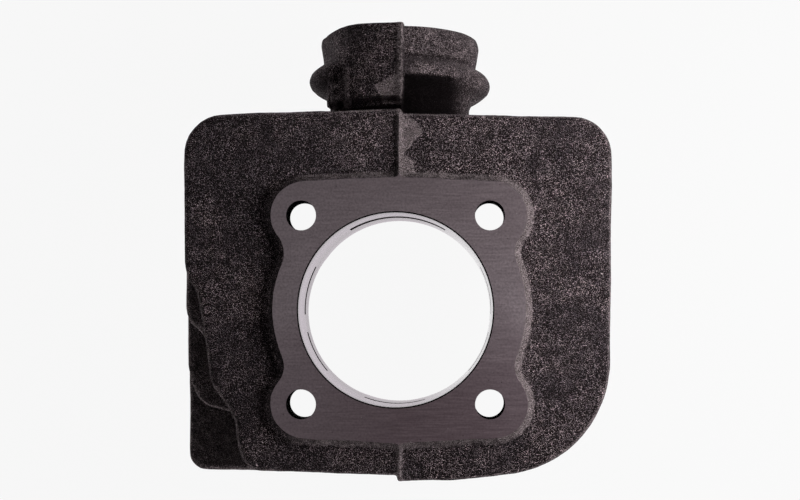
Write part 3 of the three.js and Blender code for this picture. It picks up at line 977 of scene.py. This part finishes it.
def stub_casting():
    """The exhaust stub and its gate block, cast as one, then faced and bored."""
    pieces = [
        turned(stub_profile(), placement=STUB_FRAME),
        prism(GATE_BLOCK, GATE_BLOCK_FROM, STUB_LENGTH + 2, STUB_FRAME),
    ]
    obj = fuse("exhaust_casting", pieces, voxel=0.42, smoothing=5)
    points = vertices_of(obj)
    left = ramp(CAST_X + STEP_HALF, CAST_X - STEP_HALF, points[:, 0])
    points[:, 1] += MOULD_SHIFT * (left - 0.5)
    points += normals_of(obj) * torn_flank(points)[:, None] * TORN_HEIGHT
    set_vertices(obj, points)
    add_flash(obj, height=0.95)
    roughen(obj, size=7, depth=0.4)
    roughen(obj, size=1.1, depth=0.12)
    settle(obj)
    face = rod(FACING_RADIUS, STUB_LENGTH, STUB_LENGTH + 8, placement=STUB_FRAME)
    passage = rod(PASSAGE, -3, STUB_LENGTH + 3, segments=96, placement=STUB_FRAME)
    machine(obj, [face, passage, rod(CORE, 10, DECK, CAST_X)])
    points = vertices_of(obj)
    sideways, up, along = stub_places(points)
    broken = inside(BROKEN_CORNER, sideways, along) & (up > 15)
    flash = BARE_FLASH * parting(points, 0.7)
    torn = BARE_TORN * torn_flank(points)
    # Painted light: the stub's upper right half lifted towards metal colour.
    right_half = PAINTED_LIGHT_STUB_RIGHT * ramp(0.5, 1.5, sideways) * ramp(0, 8, up)
    mark(obj, "bare_and_lit", np.maximum.reduce([flash, torn, right_half, broken]))
    # Painted shade: the neck under the collar and the collar's groove made near black.
    mark(obj, "painted_shade", painted_shade_on_stub(points))
    dress(obj, [
        (DRILLED, lambda c, n: np.hypot(*stub_places(c)[:2]) < PASSAGE + 0.1),
        (TURNED, lambda c, n: stub_places(c)[2] > STUB_LENGTH - 0.02),
    ])
    place(obj, ["exhaust_stub", "gate_block"], "rough_iron")


FOOT_CHAMFER = 0.6


def bored_wall():
    """The honed wall with its ports, and the skirt with its arches."""
    outer, top = BORE + WALL, WALL_TOP - 0.02
    obj = turned([
        (BORE + FOOT_CHAMFER, 0), (outer - FOOT_CHAMFER, 0), (outer, FOOT_CHAMFER), (outer, top),
        (BORE, top), (BORE, FOOT_CHAMFER),
    ], ROUND_BORE)
    obj.name = "bored_wall_finished"
    ports = [EXHAUST_PORT, BOOST_PORT, *SIDE_PORTS, *map(mirrored, SIDE_PORTS)]
    cutters = [prism(sector(BORE - 2, outer + 2, start, end), low, high)
               for start, end, low, high in ports]
    arch = [(ARCH_HALF_WIDTH * x, ARCH_HEIGHT * y) for x, y in arc(0, 0, 1, 0, 180, 0.03)]
    arch += [(-ARCH_HALF_WIDTH, -3), (ARCH_HALF_WIDTH, -3)]
    for angle in ARCH_ANGLES:
        turn = Matrix.Rotation(math.radians(angle) + math.pi / 2, 4, "Z")
        cutters.append(prism(arch, 1, 30, turn @ Matrix.Rotation(math.pi / 2, 4, "X")))
    machine(obj, cutters)
    dress(obj, [(TURNED, lambda c, n: np.hypot(c[:, 0], c[:, 1]) > BORE + 0.3)], HONED)
    place(obj, ["bored_wall"], "honed_iron")


# ---------------------------------------------------------------- stage, lights and camera


def aim(obj, target, up=Vector((0, 1, 0))):
    """Turns an object's -Z towards a target."""
    forward = (target - obj.location).normalized()
    right = forward.cross(up).normalized()
    over = right.cross(forward)
    obj.rotation_euler = Matrix((right, over, -forward)).transposed().to_euler()


# From the middle of the head joint, mm.
CAMERA_PLACE = Vector((11.6, -2.4, 830.0))
CAMERA_TARGET = Vector((1.0, 13.2, 0.0))


def make_camera():
    """Nearly straight down on the head joint, from a little to the right of the bore."""
    data = bpy.data.cameras.new("camera")
    data.sensor_width = 36
    data.lens = 169.4
    camera = new_object("camera", data)
    deck = AXIS + Vector((0, 0, DECK * MM))
    camera.location = deck + CAMERA_PLACE * MM
    aim(camera, deck + CAMERA_TARGET * MM)
    bpy.context.scene.camera = camera


def area_light(name, place_at, size, power):
    """A soft rectangle of light that the camera doesn't see, turned towards the part."""
    data = bpy.data.lights.new(name, "AREA")
    data.shape = "RECTANGLE"
    data.size, data.size_y = size
    data.energy = power
    light = new_object(name, data)
    light.location = place_at
    light.visible_camera = False
    aim(light, AXIS + Vector((0, 0, 0.05)), Vector((0, 0, 1)))


PALE = 0.93  # the backdrop's brightness
FLOOR_GLOW = 0.923  # brings the floor, which also reflects a little, to the same brightness
FLOOR_HALF = 6.0

# The room's brightness against height, from 0 at the horizon and below to 1 straight up.
ROOM = [(0.0, 0.20), (0.20, 0.15), (0.45, 0.08), (0.70, 0.07), (1.0, 0.07)]


def make_floor():
    """A pale floor that runs out of sight."""
    mesh = bpy.data.meshes.new("floor")
    corners = [(x * FLOOR_HALF, y * FLOOR_HALF, 0) for x, y in ((-1, -1), (1, -1), (1, 1), (-1, 1))]
    mesh.from_pydata(corners, [], [(0, 1, 2, 3)])
    floor = new_object("floor", mesh)
    n = Nodes.for_material("pale_floor")
    n.shader.inputs["Base Color"].default_value = (0.02, 0.02, 0.02, 1)
    n.shader.inputs["Roughness"].default_value = 1.0
    n.shader.inputs["Specular IOR Level"].default_value = 0.0
    n.shader.inputs["Emission Color"].default_value = (1, 1, 1, 1)
    n.shader.inputs["Emission Strength"].default_value = FLOOR_GLOW
    mesh.materials.append(n.owner)


def make_world():
    """A room with bright walls and a dim ceiling, behind a plain pale backdrop."""
    world = bpy.data.worlds.new("studio")
    n = Nodes(world, "ShaderNodeBackground", "ShaderNodeOutputWorld")
    room = n.ramp(n.split(n.texture_places["Generated"])["Z"], ROOM)
    seen = n.add("ShaderNodeLightPath").outputs["Is Camera Ray"]
    n.link(n.mix(seen, room, (PALE, PALE, PALE, 1)), n.shader.inputs["Color"])
    bpy.context.scene.world = world
    bpy.context.scene.view_settings.view_transform = "Standard"


make_camera()
make_floor()
make_world()
area_light("right_softbox", place_at=(0.18, 0.015, 0.15), size=(0.08, 0.14), power=0.70)
area_light("left_softbox", place_at=(-0.36, 0.02, 0.07), size=(0.12, 0.30), power=0.25)
area_light("exhaust_side_softbox", place_at=(0.05, 0.50, 0.15), size=(0.40, 0.15), power=0.35)
area_light("far_side_softbox", place_at=(0.0, -0.5, 0.07), size=(0.40, 0.10), power=0.9)

top_casting()
for fin_index in range(1, 8):
    lower_fin(fin_index)
body_casting()
stub_casting()
bored_wall()
